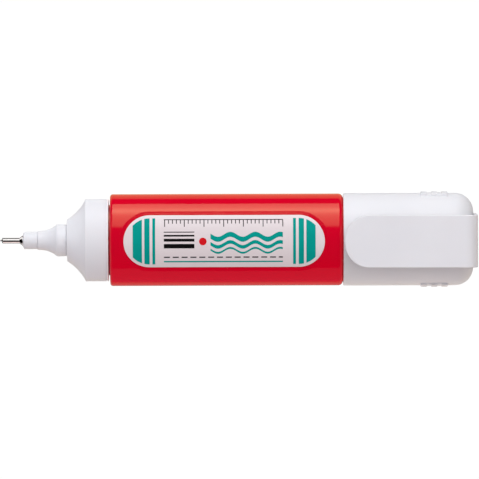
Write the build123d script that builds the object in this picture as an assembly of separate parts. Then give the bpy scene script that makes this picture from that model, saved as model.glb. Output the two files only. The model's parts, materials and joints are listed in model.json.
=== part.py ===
from build123d import *
import math
import os

# Correction pen lying on its back, label and clip up, tip towards -X, cap posted on the rear.
# Millimetres. X runs along the pen, Y across its width, Z up; Z 0 is the surface it lies on.

# ---------------------------------------------------------------- driving dimensions
HALF_W = 11.49           # half width of the barrel (Y)
HALF_T = 8.5             # half thickness of barrel and cap (Z)
PHI = 42.3               # degrees, where the oval's side arcs meet its front and back arcs
ZC = HALF_T              # height of the pen's axis

# stations along X
X_PIN_TIP = -59.76
X_TUBE_FRONT = -59.31
X_TUBE_END = -54.91
X_CONE_END = -54.16
X_FERRULE_FRONT = -54.06
X_SEAM = -50.46
X_FLARE_START = -49.81
X_FLARE_END = -45.56
X_COLLAR_FRONT = -43.01
X_COLLAR_EDGE = -38.36
X_COLLAR_REAR = -32.63
X_BARREL_FRONT = -32.26
X_BARREL_REAR = 25.84
X_POST_END = 37.3
X_CAP_MOUTH = 25.99
X_CAP_END = 58.45
X_CLIP_NOSE = 26.25
X_CLIP_END = 59.32
CENTRE = 0.22            # everything moves this far along X, which brings the middle of the length to X 0

# tip and valve radii
R_PIN_NOSE = 0.20
R_PIN = 0.36
R_TUBE = 0.75
R_TUBE_BORE = 0.48
R_TUBE_MOUTH = 0.26
R_TIP_BASE = 1.33
R_FERRULE = 2.18
R_FERRULE_SPIGOT = 1.70
R_NOZZLE_FRONT = 2.38
R_NOZZLE_BASE = 3.98
R_NOZZLE_SPIGOT = 3.40
R_CHAMBER = 2.30
R_FLARE = 6.5            # concave radius of the nozzle's flare
PIN_TRAVEL = 0.4
PIN_EDGE = 0.06          # rounding of the pin's blunt end

# collar
COLLAR_IN = 1.21         # how far the collar's skirt lies inside the barrel's outline
R_COLLAR_FRONT = 5.24
FLARE_BULGE = 0.47       # sagitta of the collar's trumpet curve
COLLAR_WALL = 1.39
LIP_W = 0.32             # rear lip of the collar, set off by a fine groove
GROOVE_W = 0.24
GROOVE_D = 0.24

# barrel
WALL = 1.15
NECK_IN = 2.72           # inset of the neck
NECK_LEN = 4.64
NECK_WALL = 1.1
POST_IN = 0.90           # inset of the rear post that carries the cap
FRONT_FILLET = 0.70
REAR_FILLET = 1.10

# label and its recess
LABEL_X = -3.76
LABEL_L = 50.10
LABEL_H = 12.95
LABEL_T = 0.12
RECESS_GAP = 0.14        # between the label and the recess's low wall
RECESS_D = 0.30          # depth of the recess's floor
BORDER_OUT_W = 0.42      # dished border round the recess: its steeper outer slope, and how far that falls
BORDER_OUT_D = 0.140
BORDER_IN_W = 0.44       # its flatter inner slope
BORDER_IN_D = 0.110
BORDER_R = 0.5           # rounding where the border leaves the front face

# mixing ball
R_BALL = 2.6
X_BALL = 8.0

# cap
CAP_HALF = 11.55         # half width of the cap (Y)
CAP_CLEAR = 0.06         # running clearance on the post
RIM_W = 0.50             # rim at the cap's mouth, a little lower than its wall
RIM_D = 0.05
MOUTH_R = 0.12           # rounding of the mouth's outer edge
CAP_END_R = 4.6          # rounding of the closed end
CAP_END_WALL = 1.6
RIB_X = (46.10, 48.70, 51.25)
RIB_W = 1.50
RIB_H = 0.39
RIB_R = 0.14             # rounding of a rib's edges
RIB_SPAN = 52.0          # degrees of the side arc that a rib runs over
PAD_X = (45.20, 52.15)   # low pad that the ribs stand on
PAD_H = 0.16
PAD_SPAN = 56.0          # degrees
PAD_R = 0.12             # rounding of its edges

# clip
CLIP_T = 1.40
CLIP_HALF = 6.55         # half width
CLIP_EDGE_R = 0.26       # rounding of the outer edges
CLIP_Z_NOSE = 19.45      # height of the strap's outer face at the nose
CLIP_SLOPE = 3.5         # degrees, the strap rises towards its root
CLIP_BEND = 3.1          # outer bend radius at the root
CLIP_BEND_IN = 1.9       # inner bend radius
GRIP_H = 0.80            # gripping bump under the nose
CLIP_LEG_LOW = 3.4       # how far the leg reaches below the axis on the cap's end face
CLIP_LEG_R = 4.6         # rounding of the leg's lower corners
NOSE_R1 = 9.0            # nose radius on the clip's centre line
NOSE_R2 = 6.0            # nose shoulder radius

# inner cap
R_LINER = 3.3
R_LINER_BORE = 2.22


# ---------------------------------------------------------------- helpers
def section_plane(x):
    """Cross-section plane at x: local x is +Y, local y is +Z, its normal is +X."""
    return Plane(origin=(x, 0, ZC), x_dir=(0, 1, 0), z_dir=(1, 0, 0))


def oval_face(a, b, x):
    """Four-arc oval of half width a and half height b, in the cross-section at x."""
    c, s = math.cos(math.radians(PHI)), math.sin(math.radians(PHI))
    det = 1 - s - c
    r = (a * (1 - s) - b * c) / det
    tx, ty = a - r + r * c, r * s
    arcs = [
        ThreePointArc((tx, -ty), (a, 0), (tx, ty)),
        ThreePointArc((tx, ty), (0, b), (-tx, ty)),
        ThreePointArc((-tx, ty), (-a, 0), (-tx, -ty)),
        ThreePointArc((-tx, -ty), (0, -b), (tx, -ty)),
    ]
    face = make_face(Wire(arcs))
    return section_plane(x) * face


def oval(inset, x0, x1):
    """Oval prism from x0 to x1, lying inset inside the barrel's outline."""
    return extrude(oval_face(HALF_W - inset, HALF_T - inset, x0), amount=x1 - x0, dir=(1, 0, 0))


def turned(points):
    """Solid of revolution about the pen's axis from (x, r) points."""
    line = Polyline([(x, r, 0) for x, r in points], close=True)
    return Pos(0, 0, ZC) * revolve(make_face(line), Axis.X, 360)


def rod(x0, x1, r):
    return turned([(x0, 0), (x0, r), (x1, r), (x1, 0)])


def ring(x0, x1, r_in, r_out):
    return turned([(x0, r_in), (x0, r_out), (x1, r_out), (x1, r_in)])


def turned_edges(edges):
    """Solid of revolution from edges drawn in the (x, r) plane."""
    return Pos(0, 0, ZC) * revolve(make_face(Wire(edges)), Axis.X, 360)


def solid_of(shape):
    """The single solid of a result."""
    solids = shape.solids()
    assert len(solids) == 1, f"{len(solids)} solids"
    return solids[0]


parts = {}

# ---------------------------------------------------------------- valve pin
pin_end = -45.2
pin = [
    Line((X_PIN_TIP, 0), (pin_end, 0)),
    Line((pin_end, 0), (pin_end, R_PIN)),
    Line((pin_end, R_PIN), (-58.63, R_PIN)),
    Line((-58.63, R_PIN), (-58.98, R_PIN_NOSE)),
    Line((-58.98, R_PIN_NOSE), (X_PIN_TIP + PIN_EDGE, R_PIN_NOSE)),
    ThreePointArc(
        (X_PIN_TIP + PIN_EDGE, R_PIN_NOSE),
        (X_PIN_TIP + PIN_EDGE * (1 - math.sqrt(0.5)), R_PIN_NOSE - PIN_EDGE * (1 - math.sqrt(0.5))),
        (X_PIN_TIP, R_PIN_NOSE - PIN_EDGE),
    ),
    Line((X_PIN_TIP, R_PIN_NOSE - PIN_EDGE), (X_PIN_TIP, 0)),
]
parts["valve_pin"] = turned_edges(pin)

# ---------------------------------------------------------------- steel tip: tube, cone and base in one drawn piece
nose = 0.26
tip = [
    Line((X_TUBE_FRONT, R_TUBE_MOUTH), (X_TUBE_FRONT, R_TUBE - nose)),
    ThreePointArc(
        (X_TUBE_FRONT, R_TUBE - nose),
        (X_TUBE_FRONT + nose * (1 - math.sqrt(0.5)), R_TUBE - nose * (1 - math.sqrt(0.5))),
        (X_TUBE_FRONT + nose, R_TUBE),
    ),
    Line((X_TUBE_FRONT + nose, R_TUBE), (X_TUBE_END, R_TUBE)),
    Line((X_TUBE_END, R_TUBE), (X_CONE_END, R_TIP_BASE)),
    Line((X_CONE_END, R_TIP_BASE), (-51.60, R_TIP_BASE)),
    Line((-51.60, R_TIP_BASE), (-51.60, 0.85)),
    Line((-51.60, 0.85), (-54.00, 0.85)),
    Line((-54.00, 0.85), (-54.60, R_TUBE_BORE)),
    Line((-54.60, R_TUBE_BORE), (-58.50, R_TUBE_BORE)),
    Line((-58.50, R_TUBE_BORE), (-58.90, R_TUBE_MOUTH)),
    Line((-58.90, R_TUBE_MOUTH), (X_TUBE_FRONT, R_TUBE_MOUTH)),
]
parts["metal_tip"] = turned_edges(tip)

# ---------------------------------------------------------------- tip ferrule
parts["tip_ferrule"] = turned([
    (X_FERRULE_FRONT, R_TIP_BASE),
    (X_FERRULE_FRONT, 1.52),
    (X_FERRULE_FRONT + 0.10, 1.69),
    (X_FERRULE_FRONT + 0.26, R_FERRULE - 0.06),
    (X_FERRULE_FRONT + 0.35, R_FERRULE),
    (X_SEAM - 0.05, R_FERRULE),
    (X_SEAM, R_FERRULE - 0.05),
    (X_SEAM, R_FERRULE_SPIGOT),
    (-47.85, R_FERRULE_SPIGOT),
    (-47.65, R_FERRULE_SPIGOT - 0.2),
    (-47.65, 0.80),
    (-51.50, 0.80),
    (-51.50, R_TIP_BASE),
])

# ---------------------------------------------------------------- nozzle
arc_mid_x = (X_FLARE_START + X_FLARE_END) / 2


def flare_r(x):
    return R_NOZZLE_FRONT + 0.02 + R_FLARE - math.sqrt(R_FLARE**2 - (x - X_FLARE_START) ** 2)


seam = 0.05
noz = [
    Line((X_SEAM + seam, R_FERRULE_SPIGOT), (X_SEAM + seam, R_NOZZLE_FRONT - 0.10)),
    Line((X_SEAM + seam, R_NOZZLE_FRONT - 0.10), (X_SEAM + seam + 0.12, R_NOZZLE_FRONT)),
    Line((X_SEAM + seam + 0.12, R_NOZZLE_FRONT), (X_FLARE_START, flare_r(X_FLARE_START))),
    ThreePointArc(
        (X_FLARE_START, flare_r(X_FLARE_START)),
        (arc_mid_x, flare_r(arc_mid_x)),
        (X_FLARE_END, flare_r(X_FLARE_END)),
    ),
    Line((X_FLARE_END, flare_r(X_FLARE_END)), (X_FLARE_END + 0.35, R_NOZZLE_BASE + 0.04)),
    Line((X_FLARE_END + 0.35, R_NOZZLE_BASE + 0.04), (X_COLLAR_FRONT - 0.25, R_NOZZLE_BASE - 0.03)),
    Line((X_COLLAR_FRONT - 0.25, R_NOZZLE_BASE - 0.03), (X_COLLAR_FRONT - 0.05, R_NOZZLE_BASE - 0.20)),
    Line((X_COLLAR_FRONT - 0.05, R_NOZZLE_BASE - 0.20), (X_COLLAR_FRONT, R_NOZZLE_BASE - 0.20)),
    Line((X_COLLAR_FRONT, R_NOZZLE_BASE - 0.20), (X_COLLAR_FRONT, R_NOZZLE_SPIGOT)),
    Line((X_COLLAR_FRONT, R_NOZZLE_SPIGOT), (-36.70, R_NOZZLE_SPIGOT)),
    Line((-36.70, R_NOZZLE_SPIGOT), (-36.40, R_NOZZLE_SPIGOT - 0.3)),
    Line((-36.40, R_NOZZLE_SPIGOT - 0.3), (-36.40, R_CHAMBER)),
    Line((-36.40, R_CHAMBER), (-46.70, R_CHAMBER)),
    Line((-46.70, R_CHAMBER), (-47.40, R_FERRULE_SPIGOT)),
    Line((-47.40, R_FERRULE_SPIGOT), (X_SEAM + seam, R_FERRULE_SPIGOT)),
]
parts["nozzle"] = turned_edges(noz)

# ---------------------------------------------------------------- valve plunger, spring and retainer
x_flange0, x_flange1, x_guide = -46.35, -45.65, -43.10
parts["valve_plunger"] = turned([
    (x_flange0, R_PIN),
    (x_flange0, 1.75),
    (x_flange0 + 0.15, 1.90),
    (x_flange1, 1.90),
    (x_flange1, 1.00),
    (x_guide, 1.00),
    (x_guide, 0),
    (pin_end, 0),
    (pin_end, R_PIN),
])

x_ret0, x_ret1 = -40.00, -36.60
retainer = turned([
    (x_ret0, 1.95), (x_ret0 + 0.2, R_CHAMBER), (x_ret1, R_CHAMBER), (x_ret1, 0),
    (-41.50, 0), (-41.50, 0.80), (-41.30, 1.00), (x_ret0, 1.00),
])
for k in range(3):
    slot = Pos((x_ret0 + x_ret1) / 2, 0, ZC) * Rot(120 * k, 0, 0) * Pos(0, 0, 2.05) * Box(6, 1.1, 0.9)
    retainer = retainer - slot
parts["spring_retainer"] = retainer

wire_r, coil_r, turns = 0.16, 1.45, 6
s0, s1 = x_flange1 + 0.22, x_ret0 - 0.22
helix = Helix(pitch=(s1 - s0) / turns, height=s1 - s0, radius=coil_r, center=(s0, 0, ZC), direction=(1, 0, 0))
parts["valve_spring"] = sweep(Plane(origin=helix @ 0, z_dir=helix % 0) * Circle(wire_r), path=helix, is_frenet=True)

# ---------------------------------------------------------------- front collar: round at the nozzle, oval at the barrel, trumpet-shaped between
ca, cb = HALF_W - COLLAR_IN, HALF_T - COLLAR_IN
dx, dr = X_COLLAR_EDGE - X_COLLAR_FRONT, ca - R_COLLAR_FRONT
chord = math.hypot(dx, dr)
curve_r = (chord / 2) ** 2 / (2 * FLARE_BULGE) + FLARE_BULGE / 2
mid = (X_COLLAR_FRONT + dx / 2, R_COLLAR_FRONT + dr / 2)
# centre of the concave curve lies outside the collar, in front of the chord
nx, nr = -dr / chord, dx / chord
ccx, ccr = mid[0] + nx * (curve_r - FLARE_BULGE), mid[1] + nr * (curve_r - FLARE_BULGE)
stations = 8
sections = []
for k in range(stations):
    x = X_COLLAR_FRONT + dx * k / (stations - 1)
    a = ccr - math.sqrt(curve_r**2 - (x - ccx) ** 2)
    if k == 0:
        a = R_COLLAR_FRONT
    if k == stations - 1:
        a = ca
    b = R_COLLAR_FRONT + (a - R_COLLAR_FRONT) * (cb - R_COLLAR_FRONT) / (ca - R_COLLAR_FRONT)
    sections.append(oval_face(a, b, x))
flare = loft(sections)
skirt = oval(COLLAR_IN, X_COLLAR_EDGE, X_COLLAR_REAR)
collar = flare + skirt
# inside of the skirt, over the neck
collar -= oval(COLLAR_IN + COLLAR_WALL, -37.60, X_COLLAR_REAR + 1)
collar -= oval(COLLAR_IN + COLLAR_WALL - 0.22, -36.1, -35.1)
# boss around the nozzle's spigot, and its bore
collar += ring(-37.60, -35.40, R_NOZZLE_SPIGOT, 4.40)
collar -= rod(X_COLLAR_FRONT - 1, -35.0, R_NOZZLE_SPIGOT)
rear_edges = [
    e for e in collar.edges()
    if abs(e.center().X - X_COLLAR_REAR) < 0.01 and abs(e.bounding_box().size.X) < 0.01
    and (abs(e.center().Y) > 9.2 or abs(e.center().Z - ZC) > 6.4)
]
collar = fillet(rear_edges, 0.1)
front_edges = [
    e for e in collar.edges()
    if all(abs((e @ t).X - X_COLLAR_FRONT) < 0.01 and abs(math.hypot((e @ t).Y, (e @ t).Z - ZC) - R_COLLAR_FRONT) < 0.02 for t in (0, 0.3, 0.5, 1))
]
collar = fillet(front_edges, 0.16)
x_lip = X_COLLAR_REAR - LIP_W
collar -= oval(COLLAR_IN - 0.5, x_lip - GROOVE_W, x_lip) - oval(COLLAR_IN + GROOVE_D, x_lip - GROOVE_W - 1, x_lip + 1)
parts["front_collar"] = collar

# ---------------------------------------------------------------- gasket between neck and collar
x_neck0 = X_BARREL_FRONT - NECK_LEN
parts["neck_gasket"] = oval(NECK_IN + 0.05, -37.60, x_neck0) - oval(NECK_IN + NECK_WALL, -38.0, x_neck0 + 1)

# ---------------------------------------------------------------- barrel: neck, body and rear post, hollow
body = oval(0, X_BARREL_FRONT, X_BARREL_REAR)
# label recess, following the curve of the front, with a dished border that slopes down to it
recess_l, recess_h = LABEL_L + 2 * RECESS_GAP, LABEL_H + 2 * RECESS_GAP
c, s = math.cos(math.radians(PHI)), math.sin(math.radians(PHI))
r_front = (HALF_T * (1 - c) - HALF_W * s) / (1 - s - c)
z_front = ZC + HALF_T - r_front


def slot_cut(grow, depth):
    """What a slot that is grow larger all round than the recess takes off the front, down to depth."""
    block = extrude(Plane(origin=(LABEL_X, 0, ZC)) * SlotOverall(recess_l + 2 * grow, recess_h + 2 * grow), amount=20)
    return block - oval(depth, X_BARREL_FRONT - 1, X_BARREL_REAR + 1)


def slot_edges(solid, grow, depth, slack=0.03):
    """Edges that run along such a slot, within slack, at that depth under the front face."""
    found = []
    for e in solid.edges():
        for t in (0.0, 0.25, 0.5, 0.75, 1.0):
            p = e @ t
            over = max(0.0, abs(p.X - LABEL_X) - (recess_l - recess_h) / 2)
            off_slot = abs(math.hypot(over, p.Y) - recess_h / 2 - grow)
            if p.Z < ZC + 2 or off_slot > slack or abs(math.hypot(p.Y, p.Z - z_front) - r_front + depth) > 0.004:
                break
        else:
            found.append(e)
    return found


def face_at(solid, depth):
    """The face that follows the front at that depth."""
    faces = [f for f in solid.faces().filter_by(GeomType.CYLINDER) if f.center().Z > ZC and abs(f.radius - r_front + depth) < 0.004]
    return max(faces, key=lambda f: f.area)


body -= slot_cut(BORDER_IN_W, BORDER_OUT_D)
body = chamfer(slot_edges(body, BORDER_IN_W, 0), length=BORDER_OUT_W, length2=BORDER_OUT_D - 0.008, reference=face_at(body, 0))
body = fillet(slot_edges(body, BORDER_IN_W + BORDER_OUT_W, 0, 0.12), BORDER_R)
body -= slot_cut(0, RECESS_D)
body = chamfer(slot_edges(body, 0, BORDER_OUT_D), length=BORDER_IN_W - 0.02, length2=BORDER_IN_D, reference=face_at(body, BORDER_OUT_D))
for x_end, r_end in ((X_BARREL_FRONT, FRONT_FILLET), (X_BARREL_REAR, REAR_FILLET)):
    end_loop = [e for e in body.edges() if e.bounding_box().size.X < 0.01 and abs(e.center().X - x_end) < 0.01]
    body = fillet(end_loop, r_end)

neck = oval(NECK_IN, x_neck0, X_BARREL_FRONT + 0.5)
bead = oval(NECK_IN - 0.25, -35.95, -35.25)
post = oval(POST_IN, X_BARREL_REAR - 0.5, X_POST_END)
post_loop = [e for e in post.edges() if abs(e.center().X - X_POST_END) < 0.01 and e.bounding_box().size.X < 0.01]
post = fillet(post_loop, 0.8)
cavity = oval(WALL, X_BARREL_FRONT + 1.3, X_BARREL_REAR - 1.3)
cavity += oval(NECK_IN + NECK_WALL, x_neck0 - 1, X_BARREL_FRONT + 2)
cavity += oval(POST_IN + 1.1, X_BARREL_REAR - 2, X_POST_END - 1.2)
barrel = body + neck + bead + post - cavity
parts["barrel"] = barrel

# ---------------------------------------------------------------- label film on the recess floor
label = extrude(Plane(origin=(LABEL_X, 0, ZC)) * SlotOverall(LABEL_L, LABEL_H), amount=20)
label = label & (oval(RECESS_D - LABEL_T, X_BARREL_FRONT + 1, X_BARREL_REAR - 1) - oval(RECESS_D, X_BARREL_FRONT, X_BARREL_REAR))
parts["front_label"] = label

# ---------------------------------------------------------------- mixing ball, lying on the cavity's floor
parts["mixing_ball"] = Pos(X_BALL, 0, WALL + R_BALL + 0.05) * Sphere(R_BALL)

# ---------------------------------------------------------------- cap shell
cap = extrude(oval_face(CAP_HALF, HALF_T, X_CAP_MOUTH), amount=X_CAP_END - X_CAP_MOUTH, dir=(1, 0, 0))
end_loop = [e for e in cap.edges() if abs(e.center().X - X_CAP_END) < 0.01 and e.bounding_box().size.X < 0.01]
cap = fillet(end_loop, CAP_END_R)
rim = extrude(oval_face(CAP_HALF + 1, HALF_T + 1, X_CAP_MOUTH - 1), amount=1 + RIM_W, dir=(1, 0, 0))
rim -= extrude(oval_face(CAP_HALF - RIM_D, HALF_T - RIM_D, X_CAP_MOUTH - 2), amount=5, dir=(1, 0, 0))
cap -= rim
mouth_loop = [e for e in cap.edges() if abs(e.center().X - X_CAP_MOUTH) < 0.01 and e.bounding_box().size.X < 0.01]
cap = fillet(mouth_loop, MOUTH_R)
# grip ribs, three on each narrow side: bent bars on a low pad, sunk into the wall
c, s = math.cos(math.radians(PHI)), math.sin(math.radians(PHI))
r_side = (CAP_HALF * (1 - s) - HALF_T * c) / (1 - s - c)
y_side = CAP_HALF - r_side


def bent_bar(x0, x1, height, span, r):
    """Bar over span degrees of the cap's side arc, with rounded outer edges."""
    face = make_face(Polyline([(x0, r_side - 0.3), (x1, r_side - 0.3), (x1, r_side + height), (x0, r_side + height)], close=True))
    block = revolve(Rot(-span / 2, 0, 0) * face, Axis.X, span)
    outer = [e for e in block.edges() if abs(math.hypot((e @ 0.5).Y, (e @ 0.5).Z) - r_side - height) < 0.01]
    return fillet(outer, r)


for side in (1, -1):
    grip = bent_bar(*PAD_X, PAD_H, PAD_SPAN, PAD_R)
    for x in RIB_X:
        grip += bent_bar(x - RIB_W / 2, x + RIB_W / 2, RIB_H, RIB_SPAN, RIB_R)
    if side < 0:
        grip = Rot(180, 0, 0) * grip
    cap += Pos(0, side * y_side, ZC) * grip
inside = oval(POST_IN - CAP_CLEAR, X_CAP_MOUTH - 1, X_CAP_END - CAP_END_WALL)
in_loop = [e for e in inside.edges() if abs(e.center().X - (X_CAP_END - CAP_END_WALL)) < 0.01 and e.bounding_box().size.X < 0.01]
inside = fillet(in_loop, CAP_END_R - 0.9)
cap -= inside
# socket ring that holds the inner cap
x_in = X_CAP_END - CAP_END_WALL
cap += ring(x_in - 4.0, x_in + 0.2, R_LINER, R_LINER + 0.9)
parts["cap_shell"] = cap

# ---------------------------------------------------------------- pocket clip: leg on the cap's end, bend, strap and rounded nose
rise = math.tan(math.radians(CLIP_SLOPE))
upright = math.cos(math.radians(CLIP_SLOPE))


def strap_out(x):
    """Height of the strap's outer face."""
    return CLIP_Z_NOSE + rise * (x - X_CLIP_NOSE)


def strap_in(x):
    """Height of the strap's inner face."""
    return strap_out(x) - CLIP_T / upright


def bend_at(x_leg, strap, r):
    """Centre and the three points of the bend of radius r between the strap and the leg's face at x_leg."""
    bx = x_leg - r
    bz = strap(bx) - r / upright
    t0 = math.radians(90 + CLIP_SLOPE)
    pts = [(bx + r * math.cos(t), bz + r * math.sin(t)) for t in (t0, t0 / 2, 0)]
    return (bx, bz), pts


z_leg = ZC - CLIP_LEG_LOW
x_leg_in = X_CAP_END
x_leg_out = X_CLIP_END
(bend_x, bend_z), out_bend = bend_at(x_leg_out, strap_out, CLIP_BEND)
_, in_bend = bend_at(x_leg_in, strap_in, CLIP_BEND_IN)
x_grip0, x_grip1, x_grip2 = X_CLIP_NOSE + 3.0, X_CLIP_NOSE + 4.6, X_CLIP_NOSE + 6.2
outline = [
    Line((X_CLIP_NOSE, CLIP_Z_NOSE), out_bend[0]),
    ThreePointArc(*out_bend),
    Line(out_bend[2], (x_leg_out, z_leg)),
    Line((x_leg_out, z_leg), (x_leg_in, z_leg)),
    Line((x_leg_in, z_leg), in_bend[2]),
    ThreePointArc(*reversed(in_bend)),
    Line(in_bend[0], (x_grip2, strap_in(x_grip2))),
    # shallow gripping bump under the nose
    ThreePointArc((x_grip2, strap_in(x_grip2)), (x_grip1, strap_in(x_grip1) - GRIP_H), (x_grip0, strap_in(x_grip0))),
    Line((x_grip0, strap_in(x_grip0)), (X_CLIP_NOSE, strap_in(X_CLIP_NOSE) + 0.25)),
    Line((X_CLIP_NOSE, strap_in(X_CLIP_NOSE) + 0.25), (X_CLIP_NOSE, CLIP_Z_NOSE)),
]
profile = make_face(Wire(outline))
strap = extrude(Plane.XZ * profile, amount=CLIP_HALF, both=True)
# plan shape with the blunt rounded nose
x2 = X_CLIP_NOSE + NOSE_R1 - math.sqrt((NOSE_R1 - NOSE_R2) ** 2 - (CLIP_HALF - NOSE_R2) ** 2)
ang = math.atan2(CLIP_HALF - NOSE_R2, X_CLIP_NOSE + NOSE_R1 - x2)
tpx = X_CLIP_NOSE + NOSE_R1 - NOSE_R1 * math.cos(ang)
tpy = NOSE_R1 * math.sin(ang)
am = (math.pi / 2 + ang) / 2
mpx, mpy = x2 - NOSE_R2 * math.cos(am), CLIP_HALF - NOSE_R2 + NOSE_R2 * math.sin(am)
plan = make_face(Wire([
    Line((x2, CLIP_HALF), (70, CLIP_HALF)),
    Line((70, CLIP_HALF), (70, -CLIP_HALF)),
    Line((70, -CLIP_HALF), (x2, -CLIP_HALF)),
    ThreePointArc((x2, -CLIP_HALF), (mpx, -mpy), (tpx, -tpy)),
    ThreePointArc((tpx, -tpy), (X_CLIP_NOSE, 0), (tpx, tpy)),
    ThreePointArc((tpx, tpy), (mpx, mpy), (x2, CLIP_HALF)),
]))
clip = strap & extrude(plan, amount=40)
end_view = Plane(origin=(20, 0, 0), x_dir=(0, 1, 0), z_dir=(1, 0, 0)) * (
    Pos(0, z_leg + 20) * RectangleRounded(2 * CLIP_HALF, 40, CLIP_LEG_R)
)
clip = clip & extrude(end_view, amount=60, dir=(1, 0, 0))


def on_outer_face(p):
    """True on the clip's outer skin: strap's top, bend or leg's outside."""
    if p.X <= out_bend[0][0] + 0.001:
        return abs(p.Z - strap_out(p.X)) < 0.004
    if p.Z <= bend_z + 0.001:
        return abs(p.X - x_leg_out) < 0.004
    return abs(math.hypot(p.X - bend_x, p.Z - bend_z) - CLIP_BEND) < 0.004


outer_chain = []
for e in clip.edges():
    pts = [e @ t for t in (0.0, 0.25, 0.5, 0.75, 1.0)]
    across = abs(pts[0].X - pts[-1].X) < 0.001 and abs(pts[0].Z - pts[-1].Z) < 0.001 and pts[2].Z > z_leg + 0.1
    straight_across = across and e.geom_type == GeomType.LINE
    if all(on_outer_face(p) for p in pts) and not straight_across:
        outer_chain.append(e)
clip = fillet(outer_chain, CLIP_EDGE_R)
parts["pocket_clip"] = clip

# ---------------------------------------------------------------- inner cap: seals on the tip ferrule when the pen is closed
x_l0 = X_CAP_MOUTH + 16.8
parts["inner_cap"] = turned([
    (x_l0, 2.95), (x_l0, R_LINER - 0.1), (x_l0 + 0.1, R_LINER), (x_in, R_LINER), (x_in, 0),
    (x_l0 + 12.0, 0), (x_l0 + 11.6, 1.60), (x_l0 + 5.0, 1.60), (x_l0 + 4.7, R_LINER_BORE),
    (x_l0 + 1.6, R_LINER_BORE),
])

# ---------------------------------------------------------------- export
os.makedirs("parts", exist_ok=True)
for name, shape in parts.items():
    solid = Pos(CENTRE, 0, 0) * solid_of(shape)
    export_step(solid, f"parts/{name}.step")
    box = solid.bounding_box()
    print(f"{name:16s} volume {solid.volume:9.2f}  x {box.min.X:7.2f} {box.max.X:7.2f}  y {box.min.Y:7.2f} {box.max.Y:7.2f}  z {box.min.Z:6.2f} {box.max.Z:6.2f}  valid {solid.is_valid}")
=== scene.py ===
import json
import math

import bmesh
import bpy
from mathutils import Matrix, Vector

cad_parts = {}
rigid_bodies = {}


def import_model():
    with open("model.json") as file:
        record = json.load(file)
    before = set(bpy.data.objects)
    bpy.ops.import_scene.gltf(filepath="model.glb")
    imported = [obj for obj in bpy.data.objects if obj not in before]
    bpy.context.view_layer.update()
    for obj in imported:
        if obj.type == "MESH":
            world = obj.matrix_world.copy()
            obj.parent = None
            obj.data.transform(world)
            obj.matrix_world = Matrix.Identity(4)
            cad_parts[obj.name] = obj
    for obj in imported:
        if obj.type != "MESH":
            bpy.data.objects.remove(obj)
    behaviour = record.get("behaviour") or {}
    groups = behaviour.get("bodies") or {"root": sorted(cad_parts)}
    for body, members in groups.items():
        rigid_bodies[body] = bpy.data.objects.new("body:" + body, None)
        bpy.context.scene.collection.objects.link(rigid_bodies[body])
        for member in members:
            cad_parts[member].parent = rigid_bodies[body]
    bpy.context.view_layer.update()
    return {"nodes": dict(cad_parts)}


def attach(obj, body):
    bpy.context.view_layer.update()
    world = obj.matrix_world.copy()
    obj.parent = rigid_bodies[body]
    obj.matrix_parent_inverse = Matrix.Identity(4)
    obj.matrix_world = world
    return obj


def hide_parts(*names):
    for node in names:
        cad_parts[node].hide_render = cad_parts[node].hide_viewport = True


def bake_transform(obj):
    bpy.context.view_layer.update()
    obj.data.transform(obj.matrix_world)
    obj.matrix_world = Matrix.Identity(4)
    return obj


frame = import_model()
nodes = frame["nodes"]
scene = bpy.context.scene
MM = 0.001

# ------------------------------------------------------------------ figures shared with the solid model, in millimetres
HALF_T = 8.5
ZC = 8.5
R_FRONT = 13.3766         # radius of the barrel's front arc
RECESS_D, LABEL_T = 0.30, 0.12
LABEL_X, LABEL_L, LABEL_H = -3.54, 50.10, 12.95


# ------------------------------------------------------------------ material helpers
def new_material(name):
    m = bpy.data.materials.new(name)
    m.use_nodes = True
    m.node_tree.nodes.clear()
    return m, m.node_tree.nodes, m.node_tree.links


def node(ns, kind, **values):
    n = ns.new(kind)
    for k, v in values.items():
        setattr(n, k, v)
    return n


def noise(ns, links, coords, scale, detail=3.0, rough=0.55, stretch=None):
    """Noise texture on object coordinates; stretch scales the three axes."""
    src = coords
    if stretch is not None:
        mp = ns.new("ShaderNodeMapping")
        mp.inputs["Scale"].default_value = stretch
        links.new(coords, mp.inputs["Vector"])
        src = mp.outputs["Vector"]
    t = ns.new("ShaderNodeTexNoise")
    t.inputs["Scale"].default_value = scale
    t.inputs["Detail"].default_value = detail
    t.inputs["Roughness"].default_value = rough
    links.new(src, t.inputs["Vector"])
    return t.outputs["Fac"]


def spread(ns, links, fac, lo, hi, from_lo=0.3, from_hi=0.7):
    r = ns.new("ShaderNodeMapRange")
    r.inputs["From Min"].default_value = from_lo
    r.inputs["From Max"].default_value = from_hi
    r.inputs["To Min"].default_value = lo
    r.inputs["To Max"].default_value = hi
    links.new(fac, r.inputs["Value"])
    return r.outputs["Result"]


def two_tone(ns, links, fac, a, b, from_lo=0.32, from_hi=0.68):
    ramp = ns.new("ShaderNodeValToRGB")
    ramp.color_ramp.elements[0].position = from_lo
    ramp.color_ramp.elements[0].color = (*a, 1)
    ramp.color_ramp.elements[1].position = from_hi
    ramp.color_ramp.elements[1].color = (*b, 1)
    links.new(fac, ramp.inputs["Fac"])
    return ramp.outputs["Color"]


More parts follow.
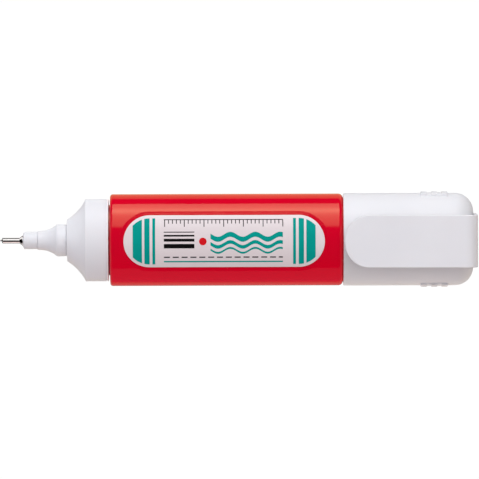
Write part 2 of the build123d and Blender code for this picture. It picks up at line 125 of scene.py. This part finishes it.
def plastic(name, tone_a, tone_b, rough_lo, rough_hi, peel=0.012, cloud=70.0, smudge=260.0, specular=0.5, tint=None, subsurface=0.0, depth=(0.06, 0.05, 0.045), grain=5200.0):
    """Moulded plastic: slow colour drift, uneven gloss and a very fine surface texture."""
    m, ns, links = new_material(name)
    out = node(ns, "ShaderNodeOutputMaterial")
    bsdf = node(ns, "ShaderNodeBsdfPrincipled")
    links.new(bsdf.outputs["BSDF"], out.inputs["Surface"])
    tc = node(ns, "ShaderNodeTexCoord").outputs["Object"]
    drift = noise(ns, links, tc, cloud, 2.0)
    links.new(two_tone(ns, links, drift, tone_a, tone_b), bsdf.inputs["Base Color"])
    gloss = noise(ns, links, tc, smudge, 4.0, 0.6)
    links.new(spread(ns, links, gloss, rough_lo, rough_hi), bsdf.inputs["Roughness"])
    fine = noise(ns, links, tc, grain, 3.0, 0.6)
    bump = node(ns, "ShaderNodeBump")
    bump.inputs["Strength"].default_value = peel
    bump.inputs["Distance"].default_value = 0.0001
    links.new(fine, bump.inputs["Height"])
    links.new(bump.outputs["Normal"], bsdf.inputs["Normal"])
    bsdf.inputs["Specular IOR Level"].default_value = specular
    if tint:
        bsdf.inputs["Specular Tint"].default_value = (*tint, 1)
    if subsurface:
        bsdf.inputs["Subsurface Weight"].default_value = subsurface
        bsdf.inputs["Subsurface Radius"].default_value = depth
        bsdf.inputs["Subsurface Scale"].default_value = MM
    return m


def metal(name, tone_a, tone_b, rough_lo, rough_hi, stretch, scratch=0.05):
    """Drawn or turned metal: fine marks stretched along or round the piece."""
    m, ns, links = new_material(name)
    out = node(ns, "ShaderNodeOutputMaterial")
    bsdf = node(ns, "ShaderNodeBsdfPrincipled")
    links.new(bsdf.outputs["BSDF"], out.inputs["Surface"])
    tc = node(ns, "ShaderNodeTexCoord").outputs["Object"]
    marks = noise(ns, links, tc, 1000.0, 4.0, 0.6, stretch)
    links.new(two_tone(ns, links, marks, tone_a, tone_b), bsdf.inputs["Base Color"])
    links.new(spread(ns, links, marks, rough_lo, rough_hi), bsdf.inputs["Roughness"])
    bump = node(ns, "ShaderNodeBump")
    bump.inputs["Strength"].default_value = scratch
    bump.inputs["Distance"].default_value = 0.00002
    links.new(marks, bump.inputs["Height"])
    links.new(bump.outputs["Normal"], bsdf.inputs["Normal"])
    bsdf.inputs["Metallic"].default_value = 1.0
    return m


RED = plastic("red_gloss_plastic", (0.62, 0.0012, 0.0195), (0.65, 0.0016, 0.0215), 0.035, 0.065, peel=0.002, specular=0.58, tint=(1.0, 0.86, 0.49))
WHITE_GLOSS = plastic("white_gloss_plastic", (0.788, 0.79, 0.815), (0.812, 0.815, 0.836), 0.34, 0.42, peel=0.02, specular=0.4, subsurface=0.12)
WHITE_SATIN = plastic("white_satin_plastic", (0.80, 0.80, 0.82), (0.825, 0.823, 0.84), 0.38, 0.48, peel=0.05, specular=0.4, subsurface=0.12)
NATURAL = plastic("natural_plastic", (0.70, 0.69, 0.63), (0.76, 0.75, 0.70), 0.32, 0.45, peel=0.05, subsurface=0.2)
RUBBER = plastic("grey_rubber", (0.045, 0.045, 0.048), (0.07, 0.07, 0.072), 0.55, 0.75, peel=0.25, specular=0.35)
FILM = plastic("label_film", (0.78, 0.70, 0.705), (0.80, 0.722, 0.728), 0.18, 0.26, peel=0.02, cloud=120.0)
INK_TEAL = plastic("ink_teal", (0.0, 0.30, 0.25), (0.0, 0.325, 0.275), 0.40, 0.50, peel=0.02, cloud=400.0, specular=0.04)
INK_BLACK = plastic("ink_black", (0.004, 0.0035, 0.004), (0.007, 0.006, 0.0065), 0.40, 0.50, peel=0.02, cloud=400.0, specular=0.04)
INK_RED = plastic("ink_red", (0.62, 0.006, 0.012), (0.68, 0.01, 0.016), 0.40, 0.50, peel=0.02, cloud=400.0, specular=0.04)
TIP_STEEL = metal("tip_steel", (0.57, 0.55, 0.54), (0.72, 0.70, 0.69), 0.04, 0.09, (0.6, 6.0, 6.0), scratch=0.03)
PIN_STEEL = metal("pin_steel", (0.22, 0.23, 0.22), (0.32, 0.33, 0.32), 0.22, 0.34, (0.6, 6.0, 6.0))
SPRING_STEEL = metal("spring_steel", (0.42, 0.42, 0.43), (0.60, 0.60, 0.61), 0.22, 0.38, (3.0, 3.0, 3.0))
BALL_STEEL = metal("ball_steel", (0.50, 0.50, 0.51), (0.66, 0.66, 0.67), 0.12, 0.3, (2.0, 2.0, 2.0))

# painted highlight: the collar's thin rear lip, behind x = -32.8 mm, is painted a shade lighter to stand in for the
# bright edge light on it
ns, links = WHITE_GLOSS.node_tree.nodes, WHITE_GLOSS.node_tree.links
bsdf = next(n for n in ns if n.type == "BSDF_PRINCIPLED")
lip_highlight_place = node(ns, "ShaderNodeSeparateXYZ")
links.new(next(n for n in ns if n.type == "TEX_COORD").outputs["Object"], lip_highlight_place.inputs[0])
# painted highlight: mixes the lighter colour into the base colour on the lip
lip_highlight_paint = node(ns, "ShaderNodeMix", data_type="RGBA")
links.new(spread(ns, links, lip_highlight_place.outputs["X"], 0.0, 1.0, -32.84 * MM, -32.78 * MM), lip_highlight_paint.inputs[0])
links.new(bsdf.inputs["Base Color"].links[0].from_socket, lip_highlight_paint.inputs[6])
lip_highlight_paint.inputs[7].default_value = (0.97, 0.97, 0.98, 1)
links.new(lip_highlight_paint.outputs[2], bsdf.inputs["Base Color"])

WEARS = {
    "barrel": RED,
    "front_label": FILM,
    "front_collar": WHITE_GLOSS,
    "nozzle": WHITE_GLOSS,
    "tip_ferrule": WHITE_GLOSS,
    "neck_gasket": RUBBER,
    "metal_tip": TIP_STEEL,
    "valve_pin": PIN_STEEL,
    "valve_plunger": NATURAL,
    "spring_retainer": NATURAL,
    "inner_cap": NATURAL,
    "valve_spring": SPRING_STEEL,
    "mixing_ball": BALL_STEEL,
    "cap_shell": WHITE_SATIN,
    "pocket_clip": WHITE_SATIN,
}
for name, material in WEARS.items():
    nodes[name].data.materials.clear()
    nodes[name].data.materials.append(material)


# ------------------------------------------------------------------ own meshes for the pieces that bend, the clip at its root and the spring along its length, with extra edge loops across the clip near its root
def bending_copy(node_name, cuts):
    """Own mesh for a solid that bends, with extra edge loops where it does."""
    src = nodes[node_name]
    bm = bmesh.new()
    bm.from_mesh(src.data)
    bmesh.ops.remove_doubles(bm, verts=bm.verts, dist=2e-7)
    for co, no in cuts:
        geom = bm.verts[:] + bm.edges[:] + bm.faces[:]
        bmesh.ops.bisect_plane(bm, geom=geom, dist=1e-7, plane_co=co, plane_no=no)
    bmesh.ops.recalc_face_normals(bm, faces=bm.faces)
    me = bpy.data.meshes.new(node_name + "_flexing")
    bm.to_mesh(me)
    bm.free()
    me.shade_smooth()
    me.set_sharp_from_angle(angle=math.radians(32))
    o = bpy.data.objects.new(node_name + "_flexing", me)
    scene.collection.objects.link(o)
    me.materials.append(WEARS[node_name])
    even = o.modifiers.new("even_shading", "WEIGHTED_NORMAL")
    even.keep_sharp = True
    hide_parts(node_name)
    return o


clip_cuts = [((0, 0, z * MM), (0, 0, 1)) for z in range(10, 19)]
clip_cuts += [((x * MM, 0, 0), (1, 0, 0)) for x in range(49, 58)]
clip = bending_copy("pocket_clip", clip_cuts)
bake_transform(clip)
spring = bending_copy("valve_spring", [])
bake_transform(spring)


# ------------------------------------------------------------------ label print: thin raised ink on the curved film
R_FILM = R_FRONT - RECESS_D + LABEL_T
Z_AXIS = ZC + HALF_T - R_FRONT


def on_film(x, s, lift):
    """Point of the film's face, x along the pen and s along its curve, in metres."""
    r = R_FILM + lift
    a = s / R_FILM
    return Vector(((LABEL_X + x) * MM, r * math.sin(a) * MM, (Z_AXIS + r * math.cos(a)) * MM))


def strip(bm, x0, x1, nx, low, high, ns, top=0.02, sunk=0.03):
    """One closed patch of ink between low(x) and high(x), from x0 to x1."""
    grid = {}
    for level, lift in ((0, -sunk), (1, top)):
        for i in range(nx + 1):
            x = x0 + (x1 - x0) * i / nx
            a, b = low(x), high(x)
            for j in range(ns + 1):
                grid[level, i, j] = bm.verts.new(on_film(x, a + (b - a) * j / ns, lift))
    for i in range(nx):
        for j in range(ns):
            t = [grid[1, i, j], grid[1, i + 1, j], grid[1, i + 1, j + 1], grid[1, i, j + 1]]
            bm.faces.new(t)
            u = [grid[0, i, j], grid[0, i, j + 1], grid[0, i + 1, j + 1], grid[0, i + 1, j]]
            bm.faces.new(u)
    rim = [(i, 0) for i in range(nx)] + [(nx, j) for j in range(ns)]
    rim += [(i, ns) for i in range(nx, 0, -1)] + [(0, j) for j in range(ns, 0, -1)]
    for k in range(len(rim)):
        a, b = rim[k], rim[(k + 1) % len(rim)]
        bm.faces.new([grid[0, *a], grid[0, *b], grid[1, *b], grid[1, *a]])


def bar(bm, x0, x1, s0, s1):
    strip(bm, x0, x1, max(1, int((x1 - x0) / 2.0)), lambda x: s0, lambda x: s1, max(1, int((s1 - s0) / 0.4)))


def half_height(x, inset):
    """Half the film's height along its curve at x, less an even border."""
    straight = (LABEL_L - LABEL_H) / 2
    r = LABEL_H / 2 - inset
    over = max(0.0, abs(x) - straight)
    y = math.sqrt(max(0.0, r * r - over * over))
    return R_FILM * math.asin(y / R_FILM)


def ink(name, material, draw):
    bm = bmesh.new()
    draw(bm)
    bmesh.ops.recalc_face_normals(bm, faces=bm.faces)
    me = bpy.data.meshes.new(name)
    bm.to_mesh(me)
    bm.free()
    o = bpy.data.objects.new(name, me)
    scene.collection.objects.link(o)
    me.materials.append(material)
    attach(o, "body")
    return o


def draw_teal(bm):
    # upright bars at both ends, thinner towards the middle
    for sign in (-1, 1):
        for c, w in ((21.6, 2.3), (19.2, 1.3), (17.5, 0.7)):
            x0, x1 = sorted((sign * (c - w / 2), sign * (c + w / 2)))
            strip(bm, x0, x1, 10, lambda x: -half_height(x, 0.75), lambda x: half_height(x, 0.75), 26)
    # two flowing waves
    def wave(x, s, amp):
        return s + amp * math.sin(x * 2 * math.pi / 6.2)
    for s, t, amp in ((1.15, 1.25, 0.62), (-0.75, 0.9, 0.62), (-2.25, 0.5, 0.62)):
        strip(bm, -3.4, 14.6, 90, lambda x: wave(x, s, amp) - t / 2, lambda x: wave(x, s, amp) + t / 2, 3)
    bar(bm, -15.0, 14.6, -5.35, -5.0)


def draw_black(bm):
    # rule with ticks along the upper edge
    bar(bm, -15.0, 14.6, 5.45, 5.65)
    for k in range(0, 31):
        x = -14.9 + k * 0.98
        bar(bm, x, x + 0.2, 3.7 if k % 5 == 0 else 4.5, 5.449)
    # stroke gauge, from fine to broad
    for s, t in ((2.35, 0.22), (1.45, 0.42), (0.35, 0.7), (-1.15, 1.1)):
        bar(bm, -15.0, -7.4, s - t / 2, s + t / 2)
    # dashed line
    x = -15.0
    while x < 14.0:
        bar(bm, x, min(x + 1.5, 14.6), -4.15, -3.85)
        x += 2.2


def draw_red(bm):
    r = 0.95
    strip(
        bm, -5.3 - r, -5.3 + r, 28,
        lambda x: -math.sqrt(max(0.0, r * r - (x + 5.3) ** 2)) - 0.0005,
        lambda x: math.sqrt(max(0.0, r * r - (x + 5.3) ** 2)) + 0.0005,
        6,
    )


ink("label_print_teal", INK_TEAL, draw_teal)
ink("label_print_black", INK_BLACK, draw_black)
ink("label_print_red", INK_RED, draw_red)

# ------------------------------------------------------------------ floor
bm = bmesh.new()
bmesh.ops.create_grid(bm, x_segments=8, y_segments=8, size=1.6)
me = bpy.data.meshes.new("floor")
bm.to_mesh(me)
bm.free()
floor = bpy.data.objects.new("floor", me)
scene.collection.objects.link(floor)
floor.location = (0, 0, -0.00002)
m, ns, links = new_material("floor_white")
out = node(ns, "ShaderNodeOutputMaterial")
glow = node(ns, "ShaderNodeEmission")
glow.inputs["Color"].default_value = (1, 1, 1, 1)
glow.inputs["Strength"].default_value = 1.03
# soft contact shadow right under the pen
under = node(ns, "ShaderNodeAmbientOcclusion", samples=8)
under.inputs["Distance"].default_value = 0.0030
shade = node(ns, "ShaderNodeValToRGB")
shade.color_ramp.elements[0].color = (0.42, 0.41, 0.41, 1)
shade.color_ramp.elements[1].color = (1, 1, 1, 1)
shade.color_ramp.elements[1].position = 0.88
links.new(under.outputs["AO"], shade.inputs["Fac"])
links.new(shade.outputs["Color"], glow.inputs["Color"])
# clear from below, so that the underside can be looked at
clear = node(ns, "ShaderNodeBsdfTransparent")
facing = node(ns, "ShaderNodeNewGeometry")
swap = node(ns, "ShaderNodeMixShader")
links.new(facing.outputs["Backfacing"], swap.inputs["Fac"])
links.new(glow.outputs[0], swap.inputs[1])
links.new(clear.outputs[0], swap.inputs[2])
links.new(swap.outputs[0], out.inputs["Surface"])
me.materials.append(m)
floor.visible_glossy = False
floor.visible_diffuse = False
floor.visible_shadow = False


# ------------------------------------------------------------------ light
centre = Vector((0, 0, ZC * MM))


def area(name, toward, deg, dist, across, up, radiance, glossy=True, diffuse=True, aim=centre):
    """Rectangular light on the side that toward points to, deg off the vertical as seen from aim."""
    a = math.radians(deg)
    side = Vector((*toward, 0)).normalized() if toward else Vector((0, 1, 0))
    loc = aim + (side * math.sin(a) + Vector((0, 0, math.cos(a)))) * dist
    top = max(radiance)
    d = bpy.data.lights.new(name, "AREA")
    d.shape = "RECTANGLE"
    d.size, d.size_y = across, up
    d.energy = top * math.pi * across * up
    d.color = [c / top for c in radiance]
    o = bpy.data.objects.new(name, d)
    scene.collection.objects.link(o)
    o.location = loc
    o.rotation_mode = "QUATERNION"
    o.rotation_quaternion = (aim - loc).to_track_quat("-Z", "Y")
    o.visible_camera = False
    o.visible_glossy = glossy
    o.visible_diffuse = diffuse
    return o


# softbox beside the pen, between 27 and 85 degrees off the vertical, with a hot strip two thirds of the way down
KEY_MID, KEY_HALF, KEY_D = 55.5, 28.8, 0.60
key = area("softbox", (0, 1), KEY_MID, KEY_D, 0.50, 2 * KEY_D * math.tan(math.radians(KEY_HALF)), (0.97, 1.0, 1.03))
key.data.use_nodes = True
kn, kl = key.data.node_tree.nodes, key.data.node_tree.links
kn.clear()
k_out = node(kn, "ShaderNodeOutputLight")
k_em = node(kn, "ShaderNodeEmission")
kl.new(k_em.outputs[0], k_out.inputs["Surface"])
k_geo = node(kn, "ShaderNodeNewGeometry")
k_xyz = node(kn, "ShaderNodeSeparateXYZ")
kl.new(k_geo.outputs["Parametric"], k_xyz.inputs[0])
k_ramp = node(kn, "ShaderNodeValToRGB")
kl.new(k_xyz.outputs["Y"], k_ramp.inputs["Fac"])
kl.new(k_ramp.outputs["Color"], k_em.inputs["Color"])
KEY_TOP = 4.1
k_em.inputs["Strength"].default_value = KEY_TOP
profile = [(84.3, 1.95), (80, 2.05), (75, 2.5), (70, 3.5), (67, 4.1), (64.5, 4.0), (62, 3.4), (58, 2.65), (54, 2.15), (48, 1.8), (40, 1.5), (33, 1.27), (31, 1.05), (29, 0.5), (26.9, 0.05)]
stops = sorted((0.5 - 0.5 * math.tan(math.radians(z - KEY_MID)) / math.tan(math.radians(KEY_HALF)), r / KEY_TOP) for z, r in profile)
els = k_ramp.color_ramp.elements
while len(els) < len(stops):
    els.new(0.5)
for el, (t, v) in zip(els, stops):
    el.position = min(1.0, max(0.0, t))
    el.color = (v, v, v, 1)

# wide soft fill from above and low fills all round, which light the pen but don't show in its gloss
above = area("fill_above", None, 0, 0.80, 2.4, 2.4, (0.915, 0.875, 0.895), glossy=False)
area("fill_front", (0, -1), 84, 0.80, 2.4, 0.4, (0.15, 0.075, 0.07), glossy=False)
area("fill_left", (-1, 0), 70, 0.70, 1.0, 0.5, (0.14, 0.19, 0.30), glossy=False)
# lights that reach the barrel alone: two low ones at its sides, and cards seen only in its gloss
barrel_only = bpy.data.collections.new("barrel_only")
barrel_only.objects.link(nodes["barrel"])
for o in (
    area("barrel_front", (0, -1), 88, 0.80, 2.4, 0.4, (1.55, 0.2, 0.40), glossy=False),
    area("barrel_back", (0, 1), 88, 0.80, 2.4, 0.3, (1.02, 0.1, 0.10), glossy=False),
    area("card_left", (-1, 0), 72, 0.60, 0.9, 0.35, (0.50, 0.49, 0.49), diffuse=False),
    area("card_right", (1, 0), 72, 0.60, 0.9, 0.35, (0.20, 0.20, 0.20), diffuse=False),
    area("card_below", (0, 1), 144, 0.30, 0.9, 0.436, (0.58, 0.50, 0.20), diffuse=False),
):
    o.light_linking.receiver_collection = barrel_only
# the cap has its own light from above, from further to the +Y side, and one from low on the -Y side
cap_only = bpy.data.collections.new("cap_only")
cap_only.objects.link(nodes["cap_shell"])
all_but_cap = bpy.data.collections.new("all_but_cap")
for name, o in nodes.items():
    if name != "cap_shell":
        all_but_cap.objects.link(o)
for o in scene.collection.objects:
    if o.type == "MESH" and o.name not in all_but_cap.objects and o.name != "cap_shell":
        all_but_cap.objects.link(o)
above.light_linking.receiver_collection = all_but_cap
for o in (
    area("cap_above", (-0.3, 0.95), 13, 0.80, 2.4, 2.1, (0.828, 0.80, 0.82), glossy=False),
    area("cap_low", (0, -1), 112, 0.80, 2.4, 0.6, (0.84, 0.81, 0.80), glossy=False),
):
    o.light_linking.receiver_collection = cap_only
# the white front pieces keep a light edge on the far side
front_only = bpy.data.collections.new("front_only")
for name in ("front_collar", "nozzle", "tip_ferrule"):
    front_only.objects.link(nodes[name])
front_edge = area("front_edge", (0, 1), 138, 0.80, 2.4, 0.4, (1.75, 1.77, 1.77), glossy=False)
front_edge.light_linking.receiver_collection = front_only
# the softbox and two grey cards low on the -Y side show in all but the steel
all_but_steel = bpy.data.collections.new("all_but_steel")
for o in scene.collection.objects[:] + list(nodes.values()):
    if o.type == "MESH" and o.name not in all_but_steel.objects and o not in (nodes["metal_tip"], nodes["valve_pin"]):
        all_but_steel.objects.link(o)
key.light_linking.receiver_collection = all_but_steel
for o in (
    area("card_front", (0, -1), 86.5, 0.60, 2.4, 0.5, (0.18, 0.18, 0.36), diffuse=False),
    area("card_low", (0, -1), 146, 0.60, 2.4, 0.84, (0.33, 0.385, 0.34), diffuse=False),
):
    o.light_linking.receiver_collection = all_but_steel
# small cards round the steel tip
steel_only = bpy.data.collections.new("steel_only")
for name in ("metal_tip", "valve_pin"):
    steel_only.objects.link(nodes[name])
tube_at = Vector((-57.0, 0, ZC)) * MM
cone_at = Vector((-54.3, 0, ZC)) * MM
for o in (
    area("tube_card", (0, -1), 83.7, 0.030, 0.014, 0.0316, (1.35, 1.13, 1.12), diffuse=False, aim=tube_at),
    area("tube_card_top", (0, 1), 37.2, 0.030, 0.014, 0.0367, (1.5, 1.5, 1.5), diffuse=False, aim=tube_at),
    area("tube_card_far", (0, 1), 147, 0.020, 0.014, 0.026, (1.25, 1.25, 1.25), diffuse=False, aim=tube_at),
    area("cone_card", (-0.8, 0.56), 98, 0.030, 0.016, 0.018, (1.3, 1.28, 1.28), diffuse=False, aim=cone_at),
    area("cone_card_low", (-0.63, -0.77), 128, 0.030, 0.020, 0.0306, (0.50, 0.47, 0.46), diffuse=False, aim=cone_at),
    area("slant_card_a", (-0.75, -0.66), 48, 0.030, 0.016, 0.022, (0.95, 0.93, 0.93), diffuse=False, aim=tube_at),
    area("slant_card_b", (-0.75, 0.66), 48, 0.030, 0.016, 0.022, (0.95, 0.93, 0.93), diffuse=False, aim=tube_at),
    area("slant_card_c", (0.75, -0.66), 48, 0.030, 0.016, 0.022, (0.95, 0.93, 0.93), diffuse=False, aim=tube_at),
    area("slant_card_d", (0.75, 0.66), 48, 0.030, 0.016, 0.022, (0.95, 0.93, 0.93), diffuse=False, aim=tube_at),
):
    o.light_linking.receiver_collection = steel_only

# dim studio all round: pale table below the horizon, dark above
world = bpy.data.worlds.new("studio")
world.use_nodes = True
ns, links = world.node_tree.nodes, world.node_tree.links
ns.clear()
out = node(ns, "ShaderNodeOutputWorld")
bg = node(ns, "ShaderNodeBackground")
links.new(bg.outputs[0], out.inputs["Surface"])
tc = node(ns, "ShaderNodeTexCoord")
xyz = node(ns, "ShaderNodeSeparateXYZ")
links.new(tc.outputs["Generated"], xyz.inputs[0])


def by_height(name, stops):
    """Radiance against the direction's z, from -1 below to 1 above."""
    pos = node(ns, "ShaderNodeMapRange")
    pos.inputs["From Min"].default_value = -1
    pos.inputs["From Max"].default_value = 1
    links.new(xyz.outputs["Z"], pos.inputs["Value"])
    ramp = node(ns, "ShaderNodeValToRGB", name=name)
    els = ramp.color_ramp.elements
    while len(els) < len(stops):
        els.new(0.5)
    for el, (z, c) in zip(els, stops):
        el.position = (z + 1) / 2
        el.color = (*c, 1)
    links.new(pos.outputs["Result"], ramp.inputs["Fac"])
    return ramp.outputs["Color"]


dark = (0.0, 0.0, 0.0)
far = by_height("far", [(-1, (0.2, 0.19, 0.19)), (-0.34, (0.2, 0.19, 0.19)), (-0.28, dark), (1, dark)])
near = by_height("near", [(-1, (0.03, 0.035, 0.03)), (-0.38, (0.03, 0.035, 0.03)), (-0.32, dark), (1, dark)])
side = node(ns, "ShaderNodeMapRange")
side.inputs["From Min"].default_value = -0.05
side.inputs["From Max"].default_value = 0.05
links.new(xyz.outputs["Y"], side.inputs["Value"])


def blend_colours(factor, a, b):
    mix = node(ns, "ShaderNodeMix", data_type="RGBA")
    links.new(factor, mix.inputs["Factor"])
    links.new(a, mix.inputs["A"])
    links.new(b, mix.inputs["B"])
    return mix.outputs["Result"]


mirrored = blend_colours(side.outputs["Result"], near, far)
# light that the table throws back up, warmer on the near side
LOW_NEAR, LOW_FAR = (1.24, 1.03, 0.91), (0.73, 0.705, 0.70)
bounce = blend_colours(
    side.outputs["Result"],
    by_height("bounce_near", [(-1, LOW_NEAR), (-0.04, LOW_NEAR), (0.04, dark), (1, dark)]),
    by_height("bounce_far", [(-1, LOW_FAR), (-0.04, LOW_FAR), (0.04, dark), (1, dark)]),
)
path = node(ns, "ShaderNodeLightPath")
gloss = node(ns, "ShaderNodeMath", operation="MAXIMUM")
links.new(path.outputs["Is Glossy Ray"], gloss.inputs[0])
links.new(path.outputs["Is Camera Ray"], gloss.inputs[1])
links.new(blend_colours(gloss.outputs[0], bounce, mirrored), bg.inputs["Color"])
bg.inputs["Strength"].default_value = 1.0
scene.world = world
scene.view_settings.view_transform = "Standard"
scene.view_settings.look = "None"

# ------------------------------------------------------------------ camera, straight above, a little towards +Y
cam_d = bpy.data.cameras.new("camera")
cam = bpy.data.objects.new("camera", cam_d)
scene.collection.objects.link(cam)
dist = 1.5
tilt, roll = math.radians(2.8), math.radians(-0.187)
cam.location = centre + Vector((0.00028, math.sin(tilt) * dist + 0.00006, math.cos(tilt) * dist))
cam_d.sensor_width = 36.0
cam_d.lens = 36.0 * dist / (479 * 0.25 * MM)
cam.rotation_mode = "QUATERNION"
look = Matrix.Rotation(-tilt, 4, "X") @ Matrix.Rotation(roll, 4, "Z")
cam.rotation_quaternion = look.to_quaternion()
cam_d.clip_start, cam_d.clip_end = 0.1, 10
scene.camera = cam
